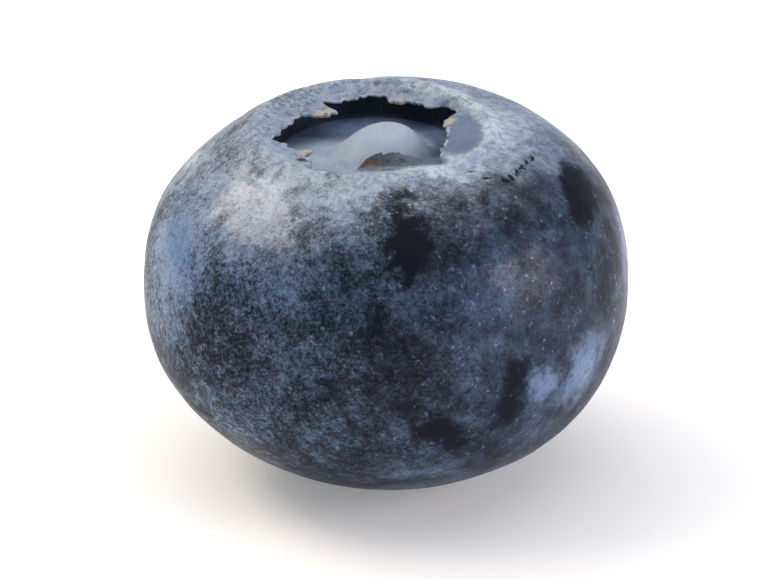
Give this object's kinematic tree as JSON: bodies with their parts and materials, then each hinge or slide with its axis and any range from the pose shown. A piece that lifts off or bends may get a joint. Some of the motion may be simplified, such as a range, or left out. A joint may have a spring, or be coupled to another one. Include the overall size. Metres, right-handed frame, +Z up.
{
  "type": "blueberry",
  "caption": "Squat round berry with a waxy dark blue skin, a shallow calyx basin ringed by short worn lobes on top, and a small stem scar in the flat spot it rests on.",
  "frame": {"origin": "middle of the bounding box's bottom, on the flat spot that the berry rests on", "axes": "+Z up, from the stem scar to the calyx; -Y towards the side that the picture shows, +X to its right"},
  "size_m": [0.0176, 0.0174, 0.0132],
  "materials": {
    "skin": null
  },
  "bodies": {
    "root": {"blueberry": "skin"}
  },
  "joints": []
}
